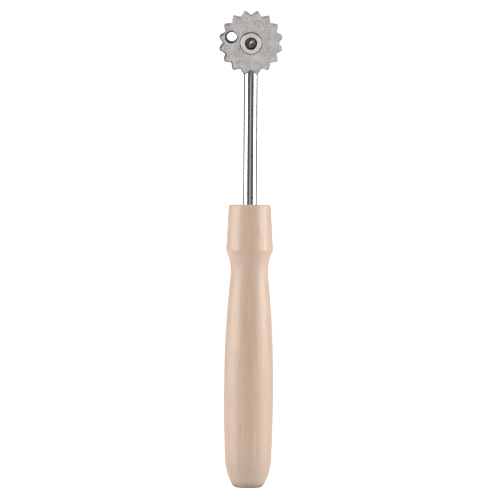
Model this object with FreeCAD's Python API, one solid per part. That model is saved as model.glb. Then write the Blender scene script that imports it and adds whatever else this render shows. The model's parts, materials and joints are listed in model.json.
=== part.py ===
import FreeCAD, Part
import math
import os

# Tracing wheel: a toothed steel wheel on a bent steel rod, with a turned wooden handle.
# Millimetres and degrees. The origin is the centre of the handle's butt, +Z runs up the handle
# and the rod, and the wheel faces -Y.

# Handle, turned from one piece of wood. The belly is placed from the butt, the neck from the
# shoulder above it. The butt's radius is where its flat end and its side would meet in a sharp edge.
handle_length = 100.0
collar_length = 16.2
collar_top_radius = 7.5
shoulder_radius = 8.33
neck_drop = 7.4
neck_radius = 6.66
belly_height = 33.5
belly_radius = 8.77
lower_belly_arc = 560.0
butt_corner_arc = 20.0
butt_radius = 5.1
butt_round = 1.8
collar_top_round = 0.7
shoulder_round = 0.35
bore_mouth_chamfer = 0.25
bore_bottom_gap = 1.5

# Rod: straight from the tang in the handle to the bend behind the wheel.
rod_radius = 2.5
tang_depth = 32.0
tang_tip_chamfer = 0.8
bend_radius = 6.0
axle_droop = 13.0
stub_length = 0.7

# Axle end of the rod: a turned journal with a shoulder, and a peened head set a little off centre.
journal_radius = 1.6
head_overhang = 0.3
head_thickness = 0.9
head_round = 0.3
head_offset = 0.2
head_offset_angle = 135.0

# Toothed wheel. Its reach is from the handle's top to the centre of its thickness.
wheel_reach = 56.6
wheel_thickness = 3.5
tooth_count = 16
tip_radius = 11.24
root_radius = 9.79
tip_round = 0.8
valley_round = 0.3
front_edge_round = 0.3
back_edge_round = 0.2
hole_radius = 1.8
hole_pitch_radius = 7.03
hole_angle = 162.8
hole_edge_chamfer = 0.25

# Flanged bush in the wheel, and the loose washer behind it.
bush_wall = 0.8
flange_width = 0.72
flange_thickness = 1.0
flange_proud = 0.5
flange_round = 0.2
head_recess_depth = 1.3
bush_tail = 0.3
washer_overhang = 1.0
washer_thickness = 0.8
washer_round = 0.15

# Clearances
running_clearance = 0.05
head_side_clearance = 0.05
washer_clearance = 0.08
end_play = 0.1
head_play = 0.05
flange_recess_clearance = 0.3

# Heights on the handle and the radii that follow from the journal outwards
shoulder_height = handle_length - collar_length
neck_height = shoulder_height - neck_drop
wheel_height = handle_length + wheel_reach
head_radius = journal_radius + head_overhang
head_recess_radius = head_radius + head_offset + head_side_clearance
bush_radius = head_recess_radius + bush_wall
flange_radius = bush_radius + flange_width
washer_radius = rod_radius + washer_overhang

# Places along the axle, measured from the wheel's back face towards the front
flange_back = wheel_thickness + flange_proud - flange_thickness
bush_front = wheel_thickness + flange_proud
recess_floor = bush_front - head_recess_depth
head_back = recess_floor + head_play
washer_front = -bush_tail - end_play
washer_back = washer_front - washer_thickness
journal_shoulder = washer_back - end_play
bend_end = journal_shoulder - stub_length

# The axle's own frame: local Z points out of the wheel's face and local Y up its face.
droop = math.radians(axle_droop)
axle_direction = FreeCAD.Vector(0, -math.cos(droop), -math.sin(droop))
back_face_height = wheel_height + wheel_thickness / 2 * math.sin(droop)
bend_end_height = back_face_height - bend_end * math.sin(droop)
bend_start_height = bend_end_height - bend_radius * math.cos(droop)
bend_end_reach = bend_radius * (1 + math.sin(droop))
bend_end_point = FreeCAD.Vector(0, -bend_end_reach, bend_end_height)
axle_origin = bend_end_point - axle_direction * bend_end
axle_placement = FreeCAD.Placement(axle_origin, FreeCAD.Rotation(FreeCAD.Vector(1, 0, 0), 90 + axle_droop))

origin = FreeCAD.Vector(0, 0, 0)
up = FreeCAD.Vector(0, 0, 1)


def line(start, end):
    return Part.LineSegment(start, end).toShape()


def arc(start, middle, end):
    return Part.Arc(start, middle, end).toShape()


def lathe_point(radius, height):
    return FreeCAD.Vector(radius, 0, height)


def arc_about(centre, radius, first, last):
    """Arc in the lathe plane about centre, from one angle in radians to another."""
    def point(angle):
        return centre + lathe_point(radius * math.cos(angle), radius * math.sin(angle))
    return arc(point(first), point((first + last) / 2), point(last))


def turned(edges):
    """Solid made by turning a closed outline about the Z axis."""
    return Part.Face(Part.Wire(edges)).revolve(origin, up, 360)


def rod_section(radius, bottom, top):
    return Part.makeCylinder(radius, top - bottom, FreeCAD.Vector(0, 0, bottom), up)


def circles_at(shape, radius, height):
    """Circular edges of a turned solid with this radius at this height."""
    found = []
    for edge in shape.Edges:
        is_circle = isinstance(edge.Curve, Part.Circle)
        if is_circle and abs(edge.Curve.Radius - radius) < 1e-4 and abs(edge.Curve.Center.z - height) < 1e-4:
            found.append(edge)
    return found


def on_axle(shape):
    """Moves a shape from the axle's own frame to its place on the tool."""
    return shape.transformed(axle_placement.toMatrix())


def handle_outline():
    """Right half of the handle's section, from the butt's centre up the outside to the top's centre."""
    # The neck's arc passes through the shoulder, and the upper belly's arc is tangent to it.
    flare = shoulder_radius - neck_radius
    neck_arc = (neck_drop ** 2 + flare ** 2) / (2 * flare)
    neck_centre = lathe_point(neck_radius + neck_arc, neck_height)
    overhang = neck_radius + neck_arc - belly_radius
    neck_to_belly = neck_height - belly_height
    upper_arc = (overhang ** 2 + neck_to_belly ** 2 - neck_arc ** 2) / (2 * (neck_arc - overhang))
    upper_centre = lathe_point(belly_radius - upper_arc, belly_height)
    upper_angle = math.atan2(neck_to_belly, overhang + upper_arc)
    shoulder_angle = math.pi - math.asin(neck_drop / neck_arc)

    # The corner's arc starts at the butt's edge and is tangent to the lower belly's arc.
    lower_centre = lathe_point(belly_radius - lower_belly_arc, belly_height)
    butt_edge = lathe_point(butt_radius, 0)
    span = (butt_edge - lower_centre).Length
    to_edge = math.atan2(butt_edge.z - lower_centre.z, butt_edge.x - lower_centre.x)
    inner = lower_belly_arc - butt_corner_arc
    swing = math.acos((inner ** 2 + span ** 2 - butt_corner_arc ** 2) / (2 * inner * span))
    lower_angle = to_edge + swing
    corner_centre = lower_centre + lathe_point(inner * math.cos(lower_angle), inner * math.sin(lower_angle))
    edge_angle = math.atan2(butt_edge.z - corner_centre.z, butt_edge.x - corner_centre.x)

    shoulder = lathe_point(shoulder_radius, shoulder_height)
    collar_top = lathe_point(collar_top_radius, handle_length)
    top_centre = lathe_point(0, handle_length)
    return [
        line(origin, butt_edge),
        arc_about(corner_centre, butt_corner_arc, edge_angle, lower_angle),
        arc_about(lower_centre, lower_belly_arc, lower_angle, 0),
        arc_about(upper_centre, upper_arc, 0, upper_angle),
        arc_about(neck_centre, neck_arc, math.pi + upper_angle, shoulder_angle),
        line(shoulder, collar_top),
        line(collar_top, top_centre),
        line(top_centre, origin),
    ]


def make_handle():
    body = turned(handle_outline())
    body = body.makeFillet(collar_top_round, circles_at(body, collar_top_radius, handle_length))
    body = body.makeFillet(shoulder_round, circles_at(body, shoulder_radius, shoulder_height))
    body = body.makeFillet(butt_round, circles_at(body, butt_radius, 0))
    bore = rod_section(rod_radius, handle_length - tang_depth - bore_bottom_gap, handle_length)
    mouth = Part.makeCone(
        rod_radius, rod_radius + bore_mouth_chamfer, bore_mouth_chamfer,
        lathe_point(0, handle_length - bore_mouth_chamfer), up)
    return body.cut(bore).cut(mouth)


def make_shank():
    tang_end = handle_length - tang_depth
    straight = rod_section(rod_radius, tang_end, bend_start_height)
    straight = straight.makeChamfer(tang_tip_chamfer, circles_at(straight, rod_radius, tang_end))

    section = Part.Face(Part.Wire(Part.makeCircle(rod_radius, FreeCAD.Vector(0, 0, bend_start_height), up)))
    bend_centre = FreeCAD.Vector(0, -bend_radius, bend_start_height)
    bend = section.revolve(bend_centre, FreeCAD.Vector(1, 0, 0), 90 + axle_droop)

    stub = rod_section(rod_radius, bend_end, journal_shoulder)
    journal = rod_section(journal_radius, journal_shoulder, head_back)
    head = rod_section(head_radius, head_back, head_back + head_thickness)
    head = head.makeFillet(head_round, circles_at(head, head_radius, head_back + head_thickness))
    offset_angle = math.radians(head_offset_angle)
    head.translate(FreeCAD.Vector(math.cos(offset_angle), math.sin(offset_angle), 0) * head_offset)
    axle = stub.fuse([journal, head])
    return straight.fuse([bend, on_axle(axle)]).removeSplitter()


def face_point(radius, angle):
    """Point in the wheel's plane, at an angle in degrees from its right-hand side."""
    turn = math.radians(angle)
    return FreeCAD.Vector(radius * math.cos(turn), radius * math.sin(turn), 0)


def turned_by(point, angle):
    return FreeCAD.Rotation(up, angle).multVec(point)


def wheel_outline():
    """Teeth with rounded tips and straight flanks, and small round valleys between them."""
    pitch = 360 / tooth_count
    tip_centre = face_point(tip_radius - tip_round, 0)
    valley_centre = face_point(root_radius + valley_round, pitch / 2)
    along = valley_centre - tip_centre
    lean = (tip_round + valley_round) / along.Length
    along.normalize()
    outward = turned_by(along, -90)
    normal = along * lean + outward * math.sqrt(1 - lean ** 2)
    tip_end = tip_centre + normal * tip_round
    valley_start = valley_centre - normal * valley_round
    tip_start = FreeCAD.Vector(tip_end.x, -tip_end.y, 0)
    valley_end = turned_by(FreeCAD.Vector(valley_start.x, -valley_start.y, 0), pitch)

    edges = []
    for tooth in range(tooth_count):
        turn = (tooth + 0.5) * pitch
        places = [tip_start, face_point(tip_radius, 0), tip_end,
                  valley_start, face_point(root_radius, pitch / 2), valley_end,
                  turned_by(tip_start, pitch)]
        first, tip, last, low_start, low, low_end, next_first = [turned_by(p, turn) for p in places]
        edges += [arc(first, tip, last), line(last, low_start), arc(low_start, low, low_end),
                  line(low_end, next_first)]
    return Part.Wire(edges)


def rim_edges(shape, height):
    """Outer edges of the wheel that lie at one height."""
    found = []
    for edge in shape.Edges:
        box = edge.BoundBox
        level = abs(box.ZMin - height) < 1e-4 and abs(box.ZMax - height) < 1e-4
        middle = edge.valueAt((edge.FirstParameter + edge.LastParameter) / 2)
        if level and math.hypot(middle.x, middle.y) > root_radius - 1e-3:
            found.append(edge)
    return found


def make_toothed_wheel():
    disc = Part.Face(wheel_outline()).extrude(FreeCAD.Vector(0, 0, wheel_thickness))
    disc = disc.makeFillet(front_edge_round, rim_edges(disc, wheel_thickness))
    disc = disc.makeFillet(back_edge_round, rim_edges(disc, 0))
    centre_bore = rod_section(bush_radius, -1, wheel_thickness + 1)
    flange_recess = rod_section(flange_radius + flange_recess_clearance, flange_back, wheel_thickness + 1)
    hole = rod_section(hole_radius, -1, wheel_thickness + 1)
    mouth_radius = hole_radius + hole_edge_chamfer
    front_mouth = Part.makeCone(
        hole_radius, mouth_radius, hole_edge_chamfer, lathe_point(0, wheel_thickness - hole_edge_chamfer), up)
    back_mouth = Part.makeCone(mouth_radius, hole_radius, hole_edge_chamfer, origin, up)
    hole = hole.fuse([front_mouth, back_mouth])
    hole.translate(face_point(hole_pitch_radius, hole_angle))
    return on_axle(disc.cut([centre_bore, flange_recess, hole]))


def make_hub_bush():
    body = rod_section(bush_radius, -bush_tail, flange_back)
    flange = rod_section(flange_radius, flange_back, bush_front)
    flange = flange.makeFillet(flange_round, circles_at(flange, flange_radius, bush_front))
    journal_bore = rod_section(journal_radius + running_clearance, -bush_tail - 1, bush_front)
    recess = rod_section(head_recess_radius, recess_floor, bush_front + 1)
    bush = body.fuse(flange).cut([journal_bore, recess])
    bush = bush.makeFillet(flange_round, circles_at(bush, head_recess_radius, bush_front))
    return on_axle(bush)


def make_rear_washer():
    washer = rod_section(washer_radius, washer_back, washer_front)
    rims = circles_at(washer, washer_radius, washer_front) + circles_at(washer, washer_radius, washer_back)
    washer = washer.makeFillet(washer_round, rims)
    hole = rod_section(journal_radius + washer_clearance, washer_back - 1, washer_front + 1)
    return on_axle(washer.cut(hole))


sub_parts = {
    "handle": make_handle(),
    "shank": make_shank(),
    "toothed_wheel": make_toothed_wheel(),
    "hub_bush": make_hub_bush(),
    "rear_washer": make_rear_washer(),
}

os.makedirs("parts", exist_ok=True)
for name, shape in sub_parts.items():
    shape.exportStep("parts/" + name + ".step")
    print(name, "solids", len(shape.Solids), "valid", shape.isValid(), "volume", round(shape.Volume, 2))
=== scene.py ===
import json
import math

import bmesh
import bpy
from mathutils import Matrix, Vector, noise


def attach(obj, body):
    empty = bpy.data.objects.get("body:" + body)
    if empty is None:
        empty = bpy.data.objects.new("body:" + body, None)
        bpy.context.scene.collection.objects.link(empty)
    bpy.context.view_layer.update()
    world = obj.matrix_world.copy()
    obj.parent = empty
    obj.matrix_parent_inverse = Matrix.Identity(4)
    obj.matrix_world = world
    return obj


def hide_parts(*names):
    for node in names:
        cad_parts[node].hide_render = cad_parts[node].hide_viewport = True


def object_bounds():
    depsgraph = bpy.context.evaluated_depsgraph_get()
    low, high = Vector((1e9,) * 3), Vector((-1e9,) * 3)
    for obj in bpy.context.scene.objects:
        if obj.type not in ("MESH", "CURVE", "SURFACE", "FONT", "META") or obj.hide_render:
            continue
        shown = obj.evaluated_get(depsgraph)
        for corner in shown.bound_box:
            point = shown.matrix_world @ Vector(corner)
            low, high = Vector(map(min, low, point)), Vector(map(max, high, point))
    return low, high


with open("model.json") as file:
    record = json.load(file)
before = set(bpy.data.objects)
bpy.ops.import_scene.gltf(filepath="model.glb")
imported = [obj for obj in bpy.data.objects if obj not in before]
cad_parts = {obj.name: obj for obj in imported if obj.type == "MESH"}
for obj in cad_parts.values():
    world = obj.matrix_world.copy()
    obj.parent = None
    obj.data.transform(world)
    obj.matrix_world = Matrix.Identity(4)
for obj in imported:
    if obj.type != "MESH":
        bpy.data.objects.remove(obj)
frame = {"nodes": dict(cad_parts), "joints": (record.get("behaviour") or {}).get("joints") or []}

# Tracing wheel: raw wooden handle, polished bent rod, toothed wheel on a bright bush.
# Metres, in the frame of the CAD model.

cadBounds = [list(corner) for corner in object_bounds()]
nodes = frame["nodes"]
joints = {joint["name"]: joint for joint in frame["joints"]}
print("frame loaded:", sorted(nodes))

mm = 0.001

# The axle's own frame: right across the wheel's face, up it, and out of it.
axle = {
    "out": Vector(joints["wheel_spin"]["axis"]).normalized(),
    "right": Vector((1, 0, 0)),
    "wheelMiddle": Vector(joints["wheel_spin"]["pos_m"]),
    "wheelThickness": 3.5 * mm,
}
axle["up"] = axle["out"].cross(axle["right"])
axle["backFace"] = axle["wheelMiddle"] - axle["out"] * axle["wheelThickness"] / 2


def axleMatrix():
    # takes a point from the axle's frame, with the wheel's back face at zero, to the tool's frame
    turn = Matrix((axle["right"], axle["up"], axle["out"])).transposed().to_4x4()
    return Matrix.Translation(axle["backFace"]) @ turn


# Short ways to write node trees

def put(tree, kind, values=None, **settings):
    # adds a node, with plain values or links for its inputs
    node = tree.nodes.new(kind)
    for name, value in settings.items():
        setattr(node, name, value)
    for key, value in (values or {}).items():
        if isinstance(value, bpy.types.NodeSocket):
            tree.links.new(value, node.inputs[key])
        else:
            node.inputs[key].default_value = value
    return node


def calc(tree, operation, a, b=0.0, clamp=False):
    return put(tree, "ShaderNodeMath", {0: a, 1: b}, operation=operation, use_clamp=clamp).outputs[0]


def remap(tree, value, low, high, newLow=0.0, newHigh=1.0):
    # stretches low to high onto the new range, and clamps beyond it
    spread = {0: value, 1: low, 2: high, 3: newLow, 4: newHigh}
    return put(tree, "ShaderNodeMapRange", spread).outputs[0]


def mixColour(tree, factor, a, b, blend="MIX"):
    return put(tree, "ShaderNodeMix", {0: factor, 6: a, 7: b}, data_type="RGBA", blend_type=blend).outputs[2]


def scaled(tree, vector, scale, move=(0, 0, 0), turn=(0, 0, 0)):
    values = {"Vector": vector, "Scale": scale, "Location": move, "Rotation": turn}
    return put(tree, "ShaderNodeMapping", values).outputs[0]


def noiseAt(tree, vector, scale, detail=2.0, roughness=0.5):
    values = {"Vector": vector, "Scale": scale, "Detail": detail, "Roughness": roughness}
    return put(tree, "ShaderNodeTexNoise", values).outputs[0]


def bumpOf(tree, height, strength, distance):
    values = {"Height": height, "Strength": strength, "Distance": distance}
    return put(tree, "ShaderNodeBump", values).outputs[0]


def newGroup(name, inputs, outputs):
    group = bpy.data.node_groups.new(name, "ShaderNodeTree")
    for label, kind, default in inputs:
        socket = group.interface.new_socket(label, in_out="INPUT", socket_type=kind)
        if default is not None:
            socket.default_value = default
    for label, kind in outputs:
        group.interface.new_socket(label, in_out="OUTPUT", socket_type=kind)
    return group, put(group, "NodeGroupInput").outputs, put(group, "NodeGroupOutput").inputs


def useGroup(tree, group, values):
    return put(tree, "ShaderNodeGroup", values, node_tree=group).outputs


def newMaterial(name, **constants):
    material = bpy.data.materials.new(name)
    material.use_nodes = True
    tree = material.node_tree
    tree.nodes.clear()
    values = {label.replace("_", " "): value for label, value in constants.items()}
    shader = put(tree, "ShaderNodeBsdfPrincipled", values)
    put(tree, "ShaderNodeOutputMaterial", {"Surface": shader.outputs[0]})
    place = put(tree, "ShaderNodeTexCoord").outputs["Object"]
    return material, tree, shader, place


def separated(tree, vector):
    return put(tree, "ShaderNodeSeparateXYZ", {0: vector}).outputs


def alignment(tree, vector, direction):
    # how far a vector goes along a fixed direction
    values = {0: vector, 1: direction}
    return put(tree, "ShaderNodeVectorMath", values, operation="DOT_PRODUCT").outputs["Value"]


def fromPoint(tree, place, point):
    return put(tree, "ShaderNodeVectorMath", {0: place, 1: point}, operation="SUBTRACT").outputs[0]


def wire(tree, shader, links):
    for label, source in links.items():
        tree.links.new(source, shader.inputs[label])


# Effects that several finishes share

def makeSpeckle():
    # tumbled and sintered grit: fine light and dark grains with a few pits
    inputs = [
        ("Vector", "NodeSocketVector", None),
        ("Grain Size", "NodeSocketFloat", 0.2),
        ("Pits", "NodeSocketFloat", 0.5),
    ]
    outputs = [("Grains", "NodeSocketFloat"), ("Pits", "NodeSocketFloat"), ("Height", "NodeSocketFloat")]
    group, given, result = newGroup("speckle", inputs, outputs)
    coarseShare, pitSpacing, pitDepth = 0.3, 0.35, 0.8
    perMetre = calc(group, "DIVIDE", 1000.0, given["Grain Size"])
    fine = noiseAt(group, given["Vector"], perMetre, 3.0, 0.65)
    coarse = noiseAt(group, given["Vector"], calc(group, "MULTIPLY", perMetre, 0.22), 2.0, 0.5)
    grains = calc(group, "ADD", calc(group, "MULTIPLY", fine, 1 - coarseShare),
                  calc(group, "MULTIPLY", coarse, coarseShare))
    cells = put(group, "ShaderNodeTexVoronoi",
                {"Vector": given["Vector"], "Scale": calc(group, "MULTIPLY", perMetre, pitSpacing)})
    # only some of the cells hold a pit
    chosen = put(group, "ShaderNodeSeparateColor", {0: cells.outputs["Color"]}).outputs[0]
    few = remap(group, chosen, 0.72, 0.95)
    pits = calc(group, "MULTIPLY", remap(group, cells.outputs["Distance"], 0.3, 0.08), few)
    pits = calc(group, "MULTIPLY", pits, given["Pits"], clamp=True)
    height = calc(group, "SUBTRACT", grains, calc(group, "MULTIPLY", pits, pitDepth))
    group.links.new(remap(group, grains, 0.3, 0.7), result["Grains"])
    group.links.new(pits, result["Pits"])
    group.links.new(height, result["Height"])
    return group


def makeToolLines():
    # hairlines left by drawing or turning: they follow one coordinate and fade in and out along the other
    inputs = [
        ("Across", "NodeSocketFloat", 0.0),
        ("Along", "NodeSocketVector", None),
        ("Lines per mm", "NodeSocketFloat", 12.0),
    ]
    group, given, result = newGroup("toolLines", inputs, [("Lines", "NodeSocketFloat")])
    position = calc(group, "MULTIPLY", given["Across"], 1000.0)
    broadSpacing, broadShare, patchScale = 0.13, 0.35, 180.0

    def hairlines(scale, **settings):
        values = {"W": position, "Scale": scale, **settings}
        return put(group, "ShaderNodeTexNoise", values, noise_dimensions="1D").outputs[0]

    fine = hairlines(given["Lines per mm"], Detail=3.0, Roughness=0.7)
    broad = hairlines(calc(group, "MULTIPLY", given["Lines per mm"], broadSpacing), Detail=1.0)
    patches = remap(group, noiseAt(group, given["Along"], patchScale, 2.0), 0.35, 0.65, 0.35, 1.0)
    lines = calc(group, "ADD", calc(group, "MULTIPLY", fine, 1 - broadShare),
                 calc(group, "MULTIPLY", broad, broadShare))
    group.links.new(calc(group, "MULTIPLY", remap(group, lines, 0.3, 0.7), patches), result["Lines"])
    return group


def makeCreaseShadeAndGrime():
    # painted shade where surfaces meet and close in, found by occlusion, standing also for dirt and polish
    # residue there
    inputs = [
        ("Vector", "NodeSocketVector", None),
        ("Reach", "NodeSocketFloat", 0.5),
        ("Strength", "NodeSocketFloat", 1.0),
    ]
    group, given, result = newGroup("creaseShadeAndGrime", inputs, [("Grime", "NodeSocketFloat")])
    reach = calc(group, "MULTIPLY", given["Reach"], mm)
    openness = put(group, "ShaderNodeAmbientOcclusion", {"Distance": reach}, samples=8).outputs["AO"]
    patchScale = 1400.0
    broken = remap(group, noiseAt(group, given["Vector"], patchScale, 3.0), 0.3, 0.7, 0.75, 1.15)
    closed = calc(group, "MULTIPLY", remap(group, openness, 0.85, 0.25), broken)
    group.links.new(calc(group, "MULTIPLY", closed, given["Strength"], clamp=True), result["Grime"])
    return group


speckle = makeSpeckle()
toolLines = makeToolLines()
creaseShadeAndGrime = makeCreaseShadeAndGrime()
print("shared effects made")


# Finishes

rawWood = {
    "pale": (0.743, 0.550, 0.418, 1), "mid": (0.680, 0.489, 0.363, 1), "late": (0.545, 0.372, 0.270, 1),
    "fleck": (0.40, 0.265, 0.185, 1), "endGrain": (0.47, 0.345, 0.265, 1), "greyed": (0.50, 0.40, 0.33, 1),
    "buttShade": (0.21, 0.175, 0.15, 1),
    "pith": (46 * mm, 60 * mm), "ringWidth": 1.7 * mm, "ringLean": 0.022, "ringWander": 1.6,
    "buttTone": 15 * mm, "buttGreyed": 0.40, "buttShadeFrom": 2.2 * mm, "buttShadeTo": 0.5 * mm, "buttShadeStrength": 0.75,
    "endGrainStrength": 0.75, "grimeReach": 1.0, "grimeStrength": 0.5,
    "roughness": (0.37, 0.48), "fleckRoughness": 0.12, "bump": 0.4, "bumpHeight": 0.06 * mm,
}
# how tightly each mark is packed across the grip, across it and along it
woodScales = {
    "wander": (70, 70, 8), "fibres": (2900, 2900, 75), "threads": (1100, 1100, 38), "streaks": (360, 360, 10),
    "mottle": (240, 240, 130), "flecks": (1500, 1500, 170), "buttShadePatchScale": 500.0,
}
woodStrengths = {"lateWood": 0.13, "threads": 0.24, "fibres": 0.26, "mottle": 0.12, "flecks": 0.40}
woodRelief = {"fibres": 0.6, "flecks": 0.7, "threads": 0.3}


def makeRawWood():
    material, tree, shader, place = newMaterial("rawWood", Specular_IOR_Level=0.85, Sheen_Weight=0.12)
    x, y, z = separated(tree, place)

    def grain(kind, detail, roughness=0.5):
        return noiseAt(tree, scaled(tree, place, woodScales[kind]), 1.0, detail, roughness)

    def times(value, factor):
        return calc(tree, "MULTIPLY", value, factor)

    # the trunk's centre lies beside the handle, so its rings run along the grip as long bands
    lean = times(z, rawWood["ringLean"])
    fromPithX = calc(tree, "SUBTRACT", calc(tree, "ADD", x, lean), rawWood["pith"][0])
    fromPithY = calc(tree, "SUBTRACT", y, rawWood["pith"][1])
    squares = calc(tree, "ADD", times(fromPithX, fromPithX), times(fromPithY, fromPithY))
    rings = calc(tree, "DIVIDE", calc(tree, "SQRT", squares), rawWood["ringWidth"])
    wander = calc(tree, "SUBTRACT", grain("wander", 2.0), 0.5)
    rings = calc(tree, "ADD", rings, times(wander, rawWood["ringWander"]))
    lateWood = remap(tree, calc(tree, "SINE", times(rings, 2 * math.pi)), -0.2, 1.0)
    # fibres, broad streaks and short pore flecks, all drawn out along the grip
    fibres = grain("fibres", 3.0, 0.62)
    threads = grain("threads", 2.0, 0.6)
    streaks = grain("streaks", 3.0, 0.55)
    mottle = grain("mottle", 3.0, 0.6)
    fleckPlace = scaled(tree, place, woodScales["flecks"])
    fleckCells = put(tree, "ShaderNodeTexVoronoi", {"Vector": fleckPlace, "Scale": 1.0})
    fleckPick = put(tree, "ShaderNodeSeparateColor", {0: fleckCells.outputs["Color"]}).outputs[0]
    flecks = times(remap(tree, fleckCells.outputs["Distance"], 0.36, 0.12),
                   remap(tree, fleckPick, 0.60, 0.85))
    colour = mixColour(tree, remap(tree, streaks, 0.32, 0.68), rawWood["pale"], rawWood["mid"])
    layers = [
        (times(lateWood, woodStrengths["lateWood"]), "late"),
        (remap(tree, threads, 0.42, 0.72, 0.0, woodStrengths["threads"]), "late"),
        (remap(tree, fibres, 0.35, 0.75, 0.0, woodStrengths["fibres"]), "late"),
        (remap(tree, mottle, 0.50, 0.75, 0.0, woodStrengths["mottle"]), "late"),
        (times(flecks, woodStrengths["flecks"]), "fleck"),
    ]
    # handling greys the butt, and the cut ends soak up light
    layers.append((remap(tree, z, rawWood["buttTone"], 0.0, 0.0, rawWood["buttGreyed"]), "greyed"))
    # painted shade along the butt's bottom edge, in patches, darkest at the very bottom
    buttShadePatches = remap(tree, noiseAt(tree, place, woodScales["buttShadePatchScale"], 3.0), 0.3, 0.7, 0.6, 1.0)
    nearButt = remap(tree, z, rawWood["buttShadeFrom"], rawWood["buttShadeTo"], 0.0, rawWood["buttShadeStrength"])
    layers.append((times(buttShadePatches, nearButt), "buttShade"))
    facing = put(tree, "ShaderNodeNewGeometry").outputs["Normal"]
    upward = calc(tree, "ABSOLUTE", separated(tree, facing)[2])
    layers.append((remap(tree, upward, 0.90, 0.99, 0.0, rawWood["endGrainStrength"]), "endGrain"))
    # painted crease shade and grime, laid on in the fleck tone
    shadeAndGrime = useGroup(tree, creaseShadeAndGrime, {
        "Vector": place, "Reach": rawWood["grimeReach"], "Strength": rawWood["grimeStrength"]})["Grime"]
    layers.append((shadeAndGrime, "fleck"))
    for amount, tone in layers:
        colour = mixColour(tree, amount, colour, rawWood[tone])
    roughness = calc(tree, "ADD", remap(tree, streaks, 0.3, 0.7, *rawWood["roughness"]),
                     times(flecks, rawWood["fleckRoughness"]))
    height = calc(tree, "SUBTRACT", times(fibres, woodRelief["fibres"]), times(flecks, woodRelief["flecks"]))
    height = calc(tree, "ADD", height, times(threads, woodRelief["threads"]))
    relief = bumpOf(tree, height, rawWood["bump"], rawWood["bumpHeight"])
    wire(tree, shader, {"Base Color": colour, "Roughness": roughness, "Normal": relief})
    return material


def faceRadius(tree, place, centre=axle["wheelMiddle"]):
    # distance from the axle's centre line, or from one beside it
    offset = fromPoint(tree, place, centre)
    along = alignment(tree, offset, axle["out"])
    whole = put(tree, "ShaderNodeVectorMath", {0: offset}, operation="LENGTH").outputs["Value"]
    squares = calc(tree, "SUBTRACT", calc(tree, "POWER", whole, 2.0), calc(tree, "POWER", along, 2.0))
    return calc(tree, "SQRT", calc(tree, "MAXIMUM", squares, 0.0))


def faceDepth(tree, place):
    # distance out along the axle from the wheel's middle
    return alignment(tree, fromPoint(tree, place, axle["wheelMiddle"]), axle["out"])


polishedRod = {
    "bright": (0.80, 0.785, 0.77, 1), "dull": (0.62, 0.60, 0.58, 1), "shadeAndGrime": (0.10, 0.09, 0.08, 1),
    "radius": 2.5 * mm, "linesPerMm": 9.0, "lineStretch": (1, 1, 0.12), "lineTone": 0.35,
    "smears": (260, 260, 70), "grimeReach": 0.9, "grimeStrength": 0.6,
    "journalFrom": -2.9 * mm, "journalTo": -2.7 * mm, "journalOuter": 2.4 * mm, "journalInner": 2.3 * mm,
    "roughness": (0.09, 0.17), "smearRoughness": 0.06, "journalShadeRoughness": 0.3,
    "bump": 0.12, "bumpHeight": 0.004 * mm,
}


def makePolishedRod():
    look = polishedRod
    material, tree, shader, place = newMaterial("polishedRod", Metallic=1.0)
    x, y = separated(tree, place)[:2]
    lines = useGroup(tree, toolLines, {
        "Across": calc(tree, "MULTIPLY", calc(tree, "ARCTAN2", x, y), look["radius"]),
        "Along": scaled(tree, place, look["lineStretch"]), "Lines per mm": look["linesPerMm"]})["Lines"]
    smears = remap(tree, noiseAt(tree, scaled(tree, place, look["smears"]), 1.0, 3.0), 0.45, 0.75)
    # painted crease shade and grime
    shadeAndGrime = useGroup(tree, creaseShadeAndGrime, {
        "Vector": place, "Reach": look["grimeReach"], "Strength": look["grimeStrength"]})["Grime"]
    dulled = remap(tree, lines, 0.0, 1.0, 0.0, look["lineTone"])
    colour = mixColour(tree, dulled, look["bright"], look["dull"])
    # the journal and its head, beyond the rod's shoulder, are painted black as shade in the gap round them
    beyond = remap(tree, faceDepth(tree, place), look["journalFrom"], look["journalTo"])
    nearAxle = remap(tree, faceRadius(tree, place), look["journalOuter"], look["journalInner"])
    journalShade = calc(tree, "MULTIPLY", beyond, nearAxle)
    colour = mixColour(tree, calc(tree, "MAXIMUM", shadeAndGrime, journalShade), colour, look["shadeAndGrime"])
    roughness = calc(tree, "ADD", remap(tree, lines, 0.0, 1.0, *look["roughness"]),
                     calc(tree, "MULTIPLY", smears, look["smearRoughness"]))
    roughness = calc(tree, "ADD", roughness, calc(tree, "MULTIPLY", journalShade, look["journalShadeRoughness"]))
    relief = bumpOf(tree, lines, look["bump"], look["bumpHeight"])
    wire(tree, shader, {"Base Color": colour, "Roughness": roughness, "Normal": relief})
    return material


# the scale colour also paints shade on one side of the wheel and in its holes
tumbledSteel = {
    "light": (0.925, 0.890, 0.880, 1), "dark": (0.376, 0.357, 0.352, 1), "pit": (0.10, 0.094, 0.088, 1),
    "stain": (0.700, 0.660, 0.625, 1), "scale": (0.028, 0.025, 0.022, 1), "shadeAndGrime": (0.03, 0.027, 0.024, 1),
    "grain": 0.48, "pits": 0.9, "pitTone": 0.65, "cloudScale": 260.0, "cloudTone": 0.25,
    "grimeReach": 0.55, "grimeStrength": 1.0, "roughness": 0.46, "grainRoughness": (0.10, -0.04),
    "coveredRoughness": 0.2, "coveredMetallic": 0.1, "bump": 0.6, "bumpHeight": 0.05 * mm,
}
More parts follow.
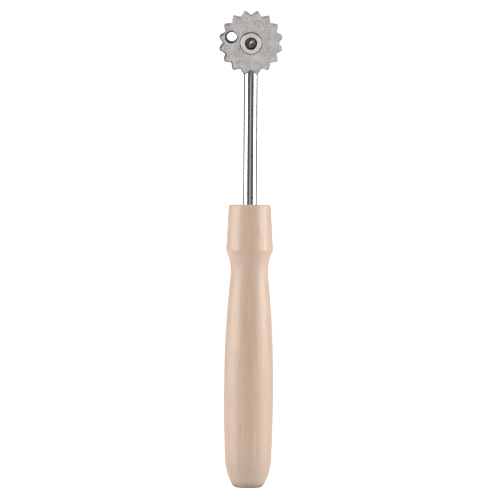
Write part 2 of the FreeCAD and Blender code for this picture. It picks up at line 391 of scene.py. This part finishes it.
# where the dark scale and painted shade lie: painted shade on one side of the rim and face, on all inner
# walls and beside the hole's mouth, and scale along every rim edge
scaleAndShade = {
    "side": Vector((-0.75, 0.0, -0.66)), "rimFrom": 2.0 * mm, "rimTo": 7 * mm, "rimLeast": 0.08,
    "edgeStrength": 0.45, "wallOuter": 9.3 * mm, "wallInner": 9.1 * mm, "patchScale": 420.0,
    "marginFrom": 1.0 * mm, "marginTo": 8 * mm, "marginStrength": (0.10, 0.85), "marginFade": 1.6,
    "mouthRight": -6.93 * mm, "mouthUp": 2.14 * mm, "mouthRadius": 2.22 * mm, "mouthBlur": 0.1 * mm,
}


def makeScaleAndShade(tree, place):
    # mask of the sheared rim's dark scale with painted shade added, thickest on the side where the shade is
    # painted
    facing = put(tree, "ShaderNodeNewGeometry").outputs["Normal"]
    flatness = calc(tree, "ABSOLUTE", alignment(tree, facing, axle["out"]))
    rimSide = remap(tree, flatness, 0.985, 0.70)
    rimEdge = calc(tree, "MULTIPLY", rimSide, remap(tree, flatness, 0.05, 0.35))
    towardShadedSide = alignment(tree, fromPoint(tree, place, axle["wheelMiddle"]), scaleAndShade["side"])
    thick = remap(tree, towardShadedSide, scaleAndShade["rimFrom"], scaleAndShade["rimTo"], scaleAndShade["rimLeast"], 1.0)
    thick = calc(tree, "MAXIMUM", thick, calc(tree, "MULTIPLY", rimEdge, scaleAndShade["edgeStrength"]))
    # the walls of the hole and the bore are painted black all round, as shade
    walls = remap(tree, faceRadius(tree, place), scaleAndShade["wallOuter"], scaleAndShade["wallInner"])
    thick = calc(tree, "MAXIMUM", thick, walls)
    patchy = remap(tree, noiseAt(tree, place, scaleAndShade["patchScale"], 2.0), 0.3, 0.7, 0.75, 1.1)
    # painted shade: the face's outer margin darkens towards the rim
    margin = put(tree, "ShaderNodeAttribute", attribute_name="rimShade").outputs["Fac"]
    marginSide = remap(tree, towardShadedSide, scaleAndShade["marginFrom"], scaleAndShade["marginTo"],
                       *scaleAndShade["marginStrength"])
    margin = calc(tree, "MULTIPLY", calc(tree, "POWER", margin, scaleAndShade["marginFade"]), marginSide)
    # and the left of the hole's mouth gets painted shade
    mouthShadeCentre = axle["wheelMiddle"] + axle["right"] * scaleAndShade["mouthRight"]
    mouthShadeCentre += axle["up"] * scaleAndShade["mouthUp"]
    radius, blur = scaleAndShade["mouthRadius"], scaleAndShade["mouthBlur"]
    mouth = remap(tree, faceRadius(tree, place, mouthShadeCentre), radius + blur, radius - blur)
    scale = calc(tree, "MULTIPLY", calc(tree, "MULTIPLY", rimSide, thick), patchy)
    scale = calc(tree, "MAXIMUM", scale, calc(tree, "MULTIPLY", margin, patchy), clamp=True)
    return calc(tree, "MAXIMUM", scale, mouth)


def makeTumbledSteel():
    look = tumbledSteel
    material, tree, shader, place = newMaterial("tumbledSteel", Specular_IOR_Level=0.3)
    grit = useGroup(tree, speckle, {"Vector": place, "Grain Size": look["grain"], "Pits": look["pits"]})
    clouds = remap(tree, noiseAt(tree, place, look["cloudScale"], 3.0, 0.6), 0.35, 0.70)
    # painted crease shade and grime
    shadeAndGrime = useGroup(tree, creaseShadeAndGrime, {
        "Vector": place, "Reach": look["grimeReach"], "Strength": look["grimeStrength"]})["Grime"]
    colour = mixColour(tree, grit["Grains"], look["dark"], look["light"])
    colour = mixColour(tree, calc(tree, "MULTIPLY", clouds, look["cloudTone"]), colour, look["stain"])
    colour = mixColour(tree, calc(tree, "MULTIPLY", grit["Pits"], look["pitTone"]), colour, look["pit"])
    # dark scale on the rim edges, with painted shade on one side, in the holes and at the hole's mouth
    scale = makeScaleAndShade(tree, place)
    colour = mixColour(tree, scale, colour, look["scale"])
    colour = mixColour(tree, shadeAndGrime, colour, look["shadeAndGrime"])
    covered = calc(tree, "MAXIMUM", scale, shadeAndGrime)
    grainRoughness = remap(tree, grit["Grains"], 0.0, 1.0, *look["grainRoughness"])
    roughness = calc(tree, "ADD", grainRoughness, look["roughness"])
    roughness = calc(tree, "ADD", roughness, calc(tree, "MULTIPLY", covered, look["coveredRoughness"]))
    metallic = remap(tree, covered, 0.1, 0.8, 1.0, look["coveredMetallic"])
    relief = bumpOf(tree, grit["Height"], look["bump"], look["bumpHeight"])
    wire(tree, shader, {"Base Color": colour, "Roughness": roughness, "Metallic": metallic, "Normal": relief})
    return material


turnedSteel = {
    "light": (0.80, 0.78, 0.76, 1), "line": (0.56, 0.54, 0.52, 1), "shadeAndGrime": (0.02, 0.018, 0.016, 1),
    "recess": 2.2 * mm, "recessBlur": 0.04 * mm, "linesPerMm": 7.0, "lineTone": 0.35, "grain": 0.30,
    "pits": 0.35, "pitTone": 0.5, "grimeReach": 0.35, "grimeStrength": 0.8,
    "roughness": (0.28, 0.38), "grainRoughness": (-0.03, 0.05), "bump": 0.25, "bumpHeight": 0.01 * mm,
}


def makeTurnedSteel():
    look = turnedSteel
    material, tree, shader, place = newMaterial("turnedSteel", Metallic=1.0)
    radius = faceRadius(tree, place)
    lines = useGroup(tree, toolLines, {
        "Across": calc(tree, "ADD", radius, faceDepth(tree, place)), "Along": place,
        "Lines per mm": look["linesPerMm"]})["Lines"]
    grit = useGroup(tree, speckle, {"Vector": place, "Grain Size": look["grain"], "Pits": look["pits"]})
    # painted crease shade and grime
    shadeAndGrime = useGroup(tree, creaseShadeAndGrime, {
        "Vector": place, "Reach": look["grimeReach"], "Strength": look["grimeStrength"]})["Grime"]
    colour = mixColour(tree, remap(tree, lines, 0.2, 1.0, 0.0, look["lineTone"]), look["light"], look["line"])
    colour = mixColour(tree, calc(tree, "MULTIPLY", grit["Pits"], look["pitTone"]), colour, look["line"])
    # painted shade blackens the recess round the axle's end
    recessShade = remap(tree, radius, look["recess"] + look["recessBlur"], look["recess"] - look["recessBlur"])
    colour = mixColour(tree, calc(tree, "MAXIMUM", shadeAndGrime, recessShade), colour, look["shadeAndGrime"])
    roughness = calc(tree, "ADD", remap(tree, lines, 0.0, 1.0, *look["roughness"]),
                     remap(tree, grit["Grains"], 0.0, 1.0, *look["grainRoughness"]))
    relief = bumpOf(tree, lines, look["bump"], look["bumpHeight"])
    wire(tree, shader, {"Base Color": colour, "Roughness": roughness, "Normal": relief})
    return material


# distances are out along the axle from the wheel's middle
tornSteel = {
    "bright": (0.90, 0.88, 0.85, 1), "torn": (0.24, 0.225, 0.21, 1), "nearBlack": (0.018, 0.016, 0.014, 1),
    "tornFrom": 1.89 * mm, "tornTo": 1.97 * mm, "polishFrom": 2.02 * mm, "polishTo": 2.13 * mm,
    "grain": 0.3, "pits": 1.0, "pitTone": 0.7, "tearScale": (900, 2400, 1500), "tearTurn": (0.3, 0.7, 0.2),
    "grimeReach": 0.5, "grimeStrength": 0.9, "roughness": (0.55, 0.26), "bump": 0.5, "bumpHeight": 0.04 * mm,
}


def makeTornSteel():
    look = tornSteel
    material, tree, shader, place = newMaterial("tornSteel", Metallic=1.0)
    grit = useGroup(tree, speckle, {"Vector": place, "Grain Size": look["grain"], "Pits": look["pits"]})
    tears = noiseAt(tree, scaled(tree, place, look["tearScale"], turn=look["tearTurn"]), 1.0, 4.0, 0.65)
    # painted crease shade and grime, in near black
    shadeAndGrime = useGroup(tree, creaseShadeAndGrime, {
        "Vector": place, "Reach": look["grimeReach"], "Strength": look["grimeStrength"]})["Grime"]
    # the hammer polished what stands proud; the lowest parts are painted near black, as shade in the gap
    # round the end and in the deepest dents
    depth = faceDepth(tree, place)
    proud = remap(tree, depth, look["polishFrom"], look["polishTo"])
    polish = calc(tree, "MULTIPLY", proud, remap(tree, tears, 0.35, 0.60, 0.4, 1.0))
    broken = remap(tree, depth, look["tornFrom"], look["tornTo"])
    colour = mixColour(tree, broken, look["nearBlack"], look["torn"])
    colour = mixColour(tree, polish, colour, look["bright"])
    colour = mixColour(tree, calc(tree, "MULTIPLY", grit["Pits"], look["pitTone"]), colour, look["nearBlack"])
    colour = mixColour(tree, shadeAndGrime, colour, look["nearBlack"])
    relief = bumpOf(tree, grit["Height"], look["bump"], look["bumpHeight"])
    roughness = remap(tree, polish, 0.0, 1.0, *look["roughness"])
    wire(tree, shader, {"Base Color": colour, "Roughness": roughness, "Normal": relief})
    return material


finishes = {
    "handle": makeRawWood(),
    "shank": makePolishedRod(),
    "wheel": makeTumbledSteel(),
    "bush": makeTurnedSteel(),
    "peenedEnd": makeTornSteel(),
}


def coat(piece, material):
    piece.data.materials.clear()
    piece.data.materials.append(material)


coat(nodes["handle"], finishes["handle"])
coat(nodes["shank"], finishes["shank"])
coat(nodes["hub_bush"], finishes["bush"])
coat(nodes["rear_washer"], finishes["bush"])
print("finishes made")


# Toothed wheel, grown by a rule in Geometry Nodes

wheelSizes = {
    "Tooth Count": 16, "Tip Radius": 11.24 * mm, "Root Radius": 9.79 * mm, "Tip Round": 0.8 * mm,
    "Valley Round": 0.3 * mm, "Edge Round": 0.3 * mm, "Shade Width": 0.42 * mm,
    "Thickness": axle["wheelThickness"],
    "Bore Radius": 2.95 * mm, "Recess Radius": 3.97 * mm, "Recess Floor": 3.0 * mm,
    "Hole Radius": 1.8 * mm, "Hole Reach": 7.03 * mm, "Hole Angle": math.radians(162.8),
    "Hole Chamfer": 0.25 * mm,
}
# how finely the wheel is divided, and how near points must be to join or to share a level
wheelMesh = {"cornerPoints": 9, "edgePoints": 5, "wallPoints": 96, "weld": 0.002 * mm, "sameLevel": 0.01 * mm}


def sharpStar():
    # radii of the sharp star whose corners, once rounded, give the tip and root radii
    halfPitch = math.pi / wheelSizes["Tooth Count"]
    tipCentre = Vector((wheelSizes["Tip Radius"] - wheelSizes["Tip Round"], 0))
    valleyReach = wheelSizes["Root Radius"] + wheelSizes["Valley Round"]
    valleyCentre = Vector((valleyReach * math.cos(halfPitch), valleyReach * math.sin(halfPitch)))
    along = valleyCentre - tipCentre
    lean = (wheelSizes["Tip Round"] + wheelSizes["Valley Round"]) / along.length
    along.normalize()
    normal = along * lean + Vector((along.y, -along.x)) * math.sqrt(1 - lean ** 2)
    reach = normal.dot(tipCentre) + wheelSizes["Tip Round"]
    valleyAxis = Vector((math.cos(halfPitch), math.sin(halfPitch)))
    return reach / normal.x, reach / normal.dot(valleyAxis)


def makeWheelTree():
    tree = bpy.data.node_groups.new("toothedWheel", "GeometryNodeTree")
    wanted = dict(wheelSizes)
    wanted["Sharp Tip"], wanted["Sharp Valley"] = sharpStar()
    for label, value in wanted.items():
        kind = "NodeSocketInt" if isinstance(value, int) else "NodeSocketFloat"
        tree.interface.new_socket(label, in_out="INPUT", socket_type=kind)
    tree.interface.new_socket("Finish", in_out="INPUT", socket_type="NodeSocketMaterial")
    tree.interface.new_socket("Geometry", in_out="OUTPUT", socket_type="NodeSocketGeometry")
    given = put(tree, "NodeGroupInput").outputs

    def point(x=0.0, y=0.0, z=0.0):
        return put(tree, "ShaderNodeCombineXYZ", {0: x, 1: y, 2: z}).outputs[0]

    def joined(*parts):
        node = put(tree, "GeometryNodeJoinGeometry")
        for part in reversed(parts):
            tree.links.new(part, node.inputs[0])
        return node.outputs[0]

    def moved(part, place):
        return put(tree, "GeometryNodeTransform", {"Geometry": part, "Translation": place}).outputs[0]

    def welded(part):
        values = {"Geometry": part, "Distance": wheelMesh["weld"]}
        return put(tree, "GeometryNodeMergeByDistance", values).outputs[0]

    def shaded(curve, strength):
        # marks how much painted shade darkens the rim, across its profile
        values = {"Geometry": curve, "Name": "rimShade", "Value": strength}
        node = put(tree, "GeometryNodeStoreNamedAttribute", values, data_type="FLOAT", domain="POINT")
        return node.outputs[0]

    def wall(radius, bottom, top, farRadius=None):
        # open ring of wall, straight or coned
        height = calc(tree, "SUBTRACT", top, bottom)
        values = {"Vertices": wheelMesh["wallPoints"], "Side Segments": 1, "Radius Bottom": radius,
                  "Radius Top": radius if farRadius is None else farRadius, "Depth": height}
        ring = put(tree, "GeometryNodeMeshCone", values, fill_type="NONE").outputs["Mesh"]
        return moved(ring, point(z=bottom))

    # outline: a star with its corners rounded, turned to bring a valley to the top
    star = put(tree, "GeometryNodeCurveStar", {
        "Points": given["Tooth Count"], "Inner Radius": given["Sharp Valley"],
        "Outer Radius": given["Sharp Tip"]})
    rounding = put(tree, "GeometryNodeSwitch", {
        0: star.outputs["Outer Points"], "False": given["Valley Round"], "True": given["Tip Round"]},
        input_type="FLOAT").outputs[0]
    outline = put(tree, "GeometryNodeFilletCurve", {
        "Curve": star.outputs["Curve"], "Count": wheelMesh["cornerPoints"], "Radius": rounding},
        mode="POLY").outputs[0]
    halfPitch = calc(tree, "DIVIDE", math.pi, given["Tooth Count"])
    turned = {"Geometry": outline, "Rotation": point(z=halfPitch)}
    outline = put(tree, "GeometryNodeTransform", turned).outputs[0]
    outline = put(tree, "GeometryNodeSetCurveNormal", {"Curve": outline}, mode="Z_UP").outputs[0]

    # rim: the outline swept with a straight side and two rounded edges
    edge, thickness = given["Edge Round"], given["Thickness"]
    inward = calc(tree, "MULTIPLY", edge, -1.0)
    lowSide, highSide = edge, calc(tree, "SUBTRACT", thickness, edge)

    def profilePoint(x, z):
        # the sweep lays a profile's y downwards
        return point(x, calc(tree, "MULTIPLY", z, -1.0))

    def rounded(start, middle, end):
        values = {"Resolution": wheelMesh["edgePoints"], "Start": start, "Middle": middle, "End": end}
        return put(tree, "GeometryNodeCurveQuadraticBezier", values).outputs[0]

    def straight(start, end):
        return put(tree, "GeometryNodeCurvePrimitiveLine", {"Start": start, "End": end}).outputs[0]

    frontRound = rounded(profilePoint(inward, thickness), profilePoint(0.0, thickness),
                         profilePoint(0.0, highSide))
    backRound = rounded(profilePoint(0.0, lowSide), profilePoint(0.0, 0.0), profilePoint(inward, 0.0))
    side = straight(profilePoint(0.0, highSide), profilePoint(0.0, lowSide))
    further = calc(tree, "SUBTRACT", inward, given["Shade Width"])
    margin = straight(profilePoint(further, thickness), profilePoint(inward, thickness))
    fading = put(tree, "GeometryNodeSplineParameter").outputs["Factor"]
    profile = joined(shaded(margin, fading), shaded(joined(frontRound, side, backRound), 1.0))
    rim = put(tree, "GeometryNodeCurveToMesh", {"Curve": outline, "Profile Curve": profile}).outputs[0]

    # bore with its recess for the bush's flange, and the off-centre hole with broken edges
    floor, chamfer, holeRadius = given["Recess Floor"], given["Hole Chamfer"], given["Hole Radius"]
    bore = wall(given["Bore Radius"], 0.0, floor)
    recess = wall(given["Recess Radius"], floor, thickness)
    mouth = calc(tree, "ADD", holeRadius, chamfer)
    chamferTop = calc(tree, "SUBTRACT", thickness, chamfer)
    hole = joined(wall(mouth, 0.0, chamfer, holeRadius), wall(holeRadius, chamfer, chamferTop),
                  wall(holeRadius, chamferTop, thickness, mouth))
    across = calc(tree, "MULTIPLY", given["Hole Reach"], calc(tree, "COSINE", given["Hole Angle"]))
    rise = calc(tree, "MULTIPLY", given["Hole Reach"], calc(tree, "SINE", given["Hole Angle"]))
    walls = welded(joined(rim, bore, recess, moved(hole, point(across, rise))))

    # flat faces: each fills the open edges that lie at its own height
    faceCount = put(tree, "GeometryNodeInputMeshEdgeNeighbors").outputs[0]
    openEdge = put(tree, "FunctionNodeCompare", {2: faceCount, 3: 1}, data_type="INT",
                   operation="EQUAL").outputs[0]
    height = separated(tree, put(tree, "GeometryNodeInputPosition").outputs[0])[2]

    def flatFace(level):
        away = calc(tree, "ABSOLUTE", calc(tree, "SUBTRACT", height, level))
        atLevel = calc(tree, "LESS_THAN", away, wheelMesh["sameLevel"])
        both = {0: openEdge, 1: atLevel}
        chosen = put(tree, "FunctionNodeBooleanMath", both, operation="AND").outputs[0]
        loops = put(tree, "GeometryNodeMeshToCurve", {"Mesh": walls, "Selection": chosen}).outputs[0]
        face = put(tree, "GeometryNodeFillCurve", {"Curve": loops}, mode="TRIANGLES").outputs[0]
        return moved(face, point(z=level))

    whole = welded(joined(walls, flatFace(0.0), flatFace(floor), flatFace(thickness)))
    plain = put(tree, "GeometryNodeRealizeInstances", {0: whole}).outputs[0]
    coated = {"Geometry": plain, "Material": given["Finish"]}
    finished = put(tree, "GeometryNodeSetMaterial", coated).outputs[0]
    put(tree, "NodeGroupOutput", {0: finished})
    return tree, wanted


def growPiece(name, tree, values, finish):
    # runs a tree on an empty mesh and keeps its result as a plain mesh
    seed = bpy.data.objects.new(name + "Seed", bpy.data.meshes.new(name + "Seed"))
    bpy.context.scene.collection.objects.link(seed)
    modifier = seed.modifiers.new("grow", "NODES")
    modifier.node_group = tree
    for item in tree.interface.items_tree:
        if item.in_out == "INPUT":
            modifier[item.identifier] = finish if item.name == "Finish" else values[item.name]
    seed.update_tag()
    grown = seed.evaluated_get(bpy.context.evaluated_depsgraph_get())
    mesh = bpy.data.meshes.new_from_object(grown)
    seed.modifiers.remove(modifier)
    bpy.data.objects.remove(seed)
    mesh.name = name
    return mesh


def tidyShell(mesh, sharpAngle, flatAxis=None):
    # joins doubles, points faces outwards and keeps flat faces crisp against rounded edges
    def isFlat(face):
        return flatAxis is not None and abs(face.normal.dot(flatAxis)) > 0.9999

    shell = bmesh.new()
    shell.from_mesh(mesh)
    bmesh.ops.remove_doubles(shell, verts=shell.verts, dist=0.001 * mm)
    bmesh.ops.recalc_face_normals(shell, faces=shell.faces)
    openEdges = [edge for edge in shell.edges if len(edge.link_faces) != 2]
    for face in shell.faces:
        face.smooth = True
    for edge in shell.edges:
        if len(edge.link_faces) == 2:
            flats = [isFlat(face) for face in edge.link_faces]
            edge.smooth = edge.calc_face_angle() < sharpAngle and flats[0] == flats[1]
    shell.to_mesh(mesh)
    shell.free()
    return len(openEdges)


def addPiece(name, mesh, body, material=None):
    piece = bpy.data.objects.new(name, mesh)
    bpy.context.scene.collection.objects.link(piece)
    if material:
        coat(piece, material)
    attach(piece, body)
    return piece


wheelTree, wheelValues = makeWheelTree()
grownWheel = growPiece("toothedWheel", wheelTree, wheelValues, finishes["wheel"])
wheelGaps = tidyShell(grownWheel, math.radians(40), Vector((0, 0, 1)))
grownWheel.transform(axleMatrix())
toothedWheel = addPiece("toothedWheel", grownWheel, "wheel")
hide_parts("toothed_wheel")
print("toothed wheel grown:", len(grownWheel.polygons), "faces, open edges", wheelGaps)


# Peened end of the rod, torn and hammered

# heights are from the wheel's back face, and dents are at (right, up, reach) from the end's own centre
peenedEnd = {
    "radius": 1.86 * mm, "offset": 0.2 * mm, "offsetAngle": math.radians(135), "base": 3.45 * mm,
    "rim": 3.62 * mm, "crown": 0.12 * mm, "lowest": 3.665 * mm, "highest": 3.97 * mm,
    "rings": 30, "spokes": 108, "ragged": 0.02, "raggedScale": 3.0,
    "ridgeAngle": math.radians(38), "ridgeWidth": 0.40 * mm, "ridgeLength": 1.10 * mm,
    "ridgeHeight": 0.26 * mm, "dentDepth": 0.20 * mm, "roughness": 0.14 * mm, "rubbleSize": 0.50 * mm,
    "dents": [(-0.75, -0.35, 0.70), (0.60, -0.35, 0.42), (-0.35, 0.80, 0.40), (0.2, 1.2, 0.3)],
}


def peenedHeight(x, y):
    # height of the hammered face: a torn ridge among dents and fine rubble
    size = peenedEnd
    out = math.hypot(x, y) / size["radius"]
    crossways = -x * math.sin(size["ridgeAngle"]) + y * math.cos(size["ridgeAngle"])
    lengthways = x * math.cos(size["ridgeAngle"]) + y * math.sin(size["ridgeAngle"])
    crown = size["crown"] * (1 - out ** 4)
    fall = (crossways / size["ridgeWidth"]) ** 2 + (lengthways / size["ridgeLength"]) ** 2
    ridge = size["ridgeHeight"] * math.exp(-fall)
    dents = 0.0
    for dentX, dentY, reach in size["dents"]:
        away = math.hypot(x - dentX * mm, y - dentY * mm) / (reach * mm)
        dents += size["dentDepth"] * math.exp(-away ** 2)
    rubble = noise.fractal(Vector((x, y, 0)) / size["rubbleSize"], 0.8, 2.2, 4) * size["roughness"]
    height = size["rim"] + crown + ridge - dents + rubble * (1 - out ** 3)
    return min(max(height, size["lowest"]), size["highest"])


def makePeenedEnd():
    size = peenedEnd
    shell = bmesh.new()
    middle = Vector((math.cos(size["offsetAngle"]), math.sin(size["offsetAngle"]), 0)) * size["offset"]
    loops = []
    for ring in range(1, size["rings"] + 1):
        share = ring / size["rings"]
        loop = []
        for spoke in range(size["spokes"]):
            angle = 2 * math.pi * spoke / size["spokes"]
            way = Vector((math.cos(angle), math.sin(angle), 0))
            ragged = 1 + size["ragged"] * share * noise.noise(way * size["raggedScale"])
            radius = size["radius"] * share * ragged
            x, y = radius * math.cos(angle), radius * math.sin(angle)
            loop.append(shell.verts.new(middle + Vector((x, y, peenedHeight(x, y)))))
        loops.append(loop)
    skirt = [shell.verts.new(Vector((vert.co.x, vert.co.y, size["base"]))) for vert in loops[-1]]
    loops.append(skirt)
    top = shell.verts.new(middle + Vector((0, 0, peenedHeight(0, 0))))
    bottom = shell.verts.new(middle + Vector((0, 0, size["base"])))
    for spoke in range(size["spokes"]):
        following = (spoke + 1) % size["spokes"]
        shell.faces.new((top, loops[0][spoke], loops[0][following]))
        shell.faces.new((bottom, skirt[following], skirt[spoke]))
        for inner, outer in zip(loops, loops[1:]):
            shell.faces.new((inner[spoke], outer[spoke], outer[following], inner[following]))
    mesh = bpy.data.meshes.new("peenedFace")
    shell.to_mesh(mesh)
    shell.free()
    gaps = tidyShell(mesh, math.radians(50))
    mesh.transform(axleMatrix())
    addPiece("peenedFace", mesh, "grip", finishes["peenedEnd"])
    print("peened end sculpted:", len(mesh.polygons), "faces, open edges", gaps)


makePeenedEnd()


# Floor, light and camera

stage = {"floorSize": 6.0, "pale": (0.93, 0.93, 0.93, 1), "cloudy": (0.96, 0.96, 0.96, 1),
         "unseen": (0.82, 0.82, 0.82, 1), "glow": 0.14, "glowSeen": 0.85, "gap": 0.05 * mm, "cloudScale": 6.0}


def makeFloor():
    mesh = bpy.data.meshes.new("floor")
    half = stage["floorSize"] / 2
    corners = [(-half, -half, 0), (half, -half, 0), (half, half, 0), (-half, half, 0)]
    mesh.from_pydata(corners, [], [(0, 1, 2, 3)])
    mesh.transform(Matrix.Translation((0, 0, cadBounds[0][2] - stage["gap"])))
    floor = bpy.data.objects.new("floor", mesh)
    bpy.context.scene.collection.objects.link(floor)
    material, tree, shader, place = newMaterial("paleFloor", Roughness=0.9)
    tone = mixColour(tree, noiseAt(tree, place, stage["cloudScale"], 2.0), stage["pale"], stage["cloudy"])
    # white to the eye, but throws little light up at the butt
    seen = put(tree, "ShaderNodeLightPath").outputs["Is Camera Ray"]
    tone = mixColour(tree, seen, stage["unseen"], tone)
    glow = remap(tree, seen, 0.0, 1.0, stage["glow"], stage["glowSeen"])
    wire(tree, shader, {"Base Color": tone, "Emission Color": tone, "Emission Strength": glow})
    coat(floor, material)


softboxes = {
    "left": {"turn": -76, "distance": 0.95, "size": (0.80, 1.3), "watts": 12.5, "height": 0.16},
    "right": {"turn": 78, "distance": 0.95, "size": (0.75, 1.3), "watts": 13.5, "height": 0.16},
    "top": {"turn": 20, "distance": 0.4, "size": (0.9, 0.9), "watts": 3.2, "height": 1.25},
    "front": {"turn": 0, "distance": 1.25, "size": (0.42, 0.42), "watts": 0.25, "height": 0.16},
}


def makeLights():
    target = Vector((0, 0, 100 * mm))
    for name, box in softboxes.items():
        light = bpy.data.lights.new(name, "AREA")
        light.shape = "RECTANGLE"
        light.size, light.size_y = box["size"]
        light.energy = box["watts"]
        lamp = bpy.data.objects.new(name, light)
        turn = math.radians(box["turn"])
        lamp.location = (math.sin(turn) * box["distance"], -math.cos(turn) * box["distance"], box["height"])
        lamp.rotation_euler = (target - lamp.location).to_track_quat("-Z", "Y").to_euler()
        bpy.context.scene.collection.objects.link(lamp)


# how bright each part of the studio is, and where the front, the wall and the sweep begin and end
studioAir = {
    "front": 0.10, "side": 0.16, "back": 1.15, "sweep": 0.85, "seen": 1.3,
    "fade": (-0.8, 0.4), "wall": (0.86, 0.92), "sweepHeight": (0.12, 0.30), "sweepDepth": (0.55, 0.80),
}


def makeWorld():
    world = bpy.data.worlds.new("studio")
    bpy.context.scene.world = world
    world.use_nodes = True
    tree = world.node_tree
    tree.nodes.clear()
    way = put(tree, "ShaderNodeTexCoord").outputs["Generated"]
    depth, height = separated(tree, way)[1:]
    tone = remap(tree, depth, *studioAir["fade"], studioAir["front"], studioAir["side"])
    wallTone = remap(tree, depth, *studioAir["wall"])
    tone = calc(tree, "ADD", tone, calc(tree, "MULTIPLY", wallTone, studioAir["back"]))
    sweep = calc(tree, "MULTIPLY", remap(tree, height, *studioAir["sweepHeight"]),
                 remap(tree, depth, *studioAir["sweepDepth"]))
    tone = calc(tree, "MAXIMUM", tone, calc(tree, "MULTIPLY", sweep, studioAir["sweep"]))
    seen = put(tree, "ShaderNodeLightPath").outputs["Is Camera Ray"]
    levels = {0: seen, 2: tone, 3: studioAir["seen"]}
    level = put(tree, "ShaderNodeMix", levels, data_type="FLOAT").outputs[0]
    sky = put(tree, "ShaderNodeBackground", {"Color": (1, 1, 1, 1), "Strength": level})
    put(tree, "ShaderNodeOutputWorld", {"Surface": sky.outputs[0]})


viewpoint = {
    "aim": (0.16 * mm, 0, 84.0 * mm), "distance": 0.95, "acrossFrame": 177.1 * mm, "roll": math.radians(0.41),
    "sensor": 36.0, "clipStart": 0.01,
}


def makeCamera():
    camera = bpy.data.objects.new("camera", bpy.data.cameras.new("camera"))
    camera.data.sensor_width = viewpoint["sensor"]
    camera.data.lens = camera.data.sensor_width * viewpoint["distance"] / viewpoint["acrossFrame"]
    camera.data.clip_start = viewpoint["clipStart"]
    aim = Vector(viewpoint["aim"])
    camera.location = aim + Vector((0, -viewpoint["distance"], 0))
    turn = Matrix.Rotation(math.pi / 2, 3, "X") @ Matrix.Rotation(viewpoint["roll"], 3, "Z")
    camera.rotation_euler = turn.to_euler()
    bpy.context.scene.collection.objects.link(camera)
    bpy.context.scene.camera = camera


makeFloor()
makeLights()
makeWorld()
makeCamera()
bpy.context.scene.view_settings.view_transform = "Standard"
print("stage set")
